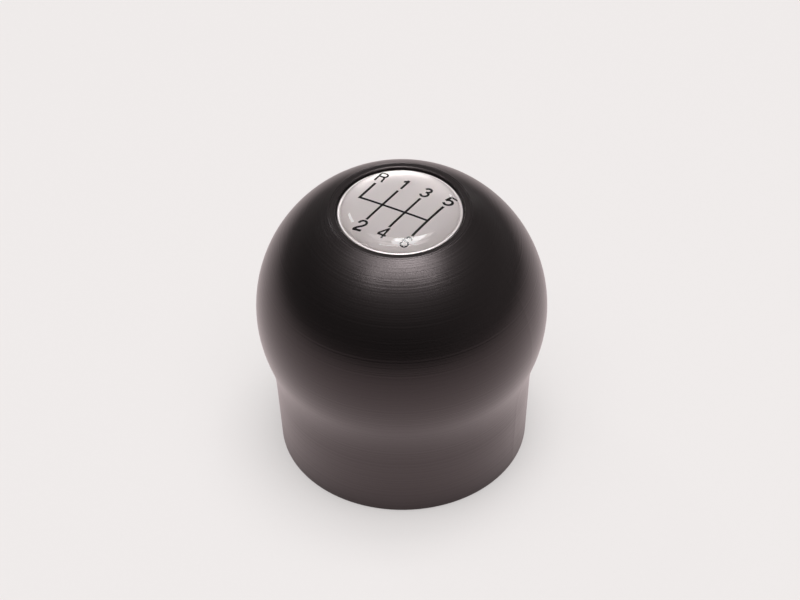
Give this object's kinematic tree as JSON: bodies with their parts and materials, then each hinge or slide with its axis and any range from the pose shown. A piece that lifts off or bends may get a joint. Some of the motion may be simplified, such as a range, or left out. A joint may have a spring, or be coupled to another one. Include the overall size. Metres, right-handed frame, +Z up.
{
  "type": "gear shift knob",
  "caption": "Ball-shaped gear shift knob on a flared skirt, with a domed shift-pattern badge on top, a collar recess underneath and a threaded metal insert for the lever.",
  "frame": {"origin": "centre of the base, on the surface that the knob stands on", "axes": "+Z up along the lever's axis, +Y forward in the vehicle, so that first gear is ahead of second"},
  "size_m": [0.05, 0.05, 0.0524],
  "materials": {
    "acetal": "satin black, fine turning marks",
    "brass": "machined",
    "silver_plate": "satin silver",
    "ink": "printed black",
    "clear_resin": "clear and glossy"
  },
  "bodies": {
    "root": {"knob_body": "acetal", "threaded_insert": "brass", "badge_plate": "silver_plate", "shift_gates": "ink", "badge_dome": "clear_resin"}
  },
  "joints": []
}
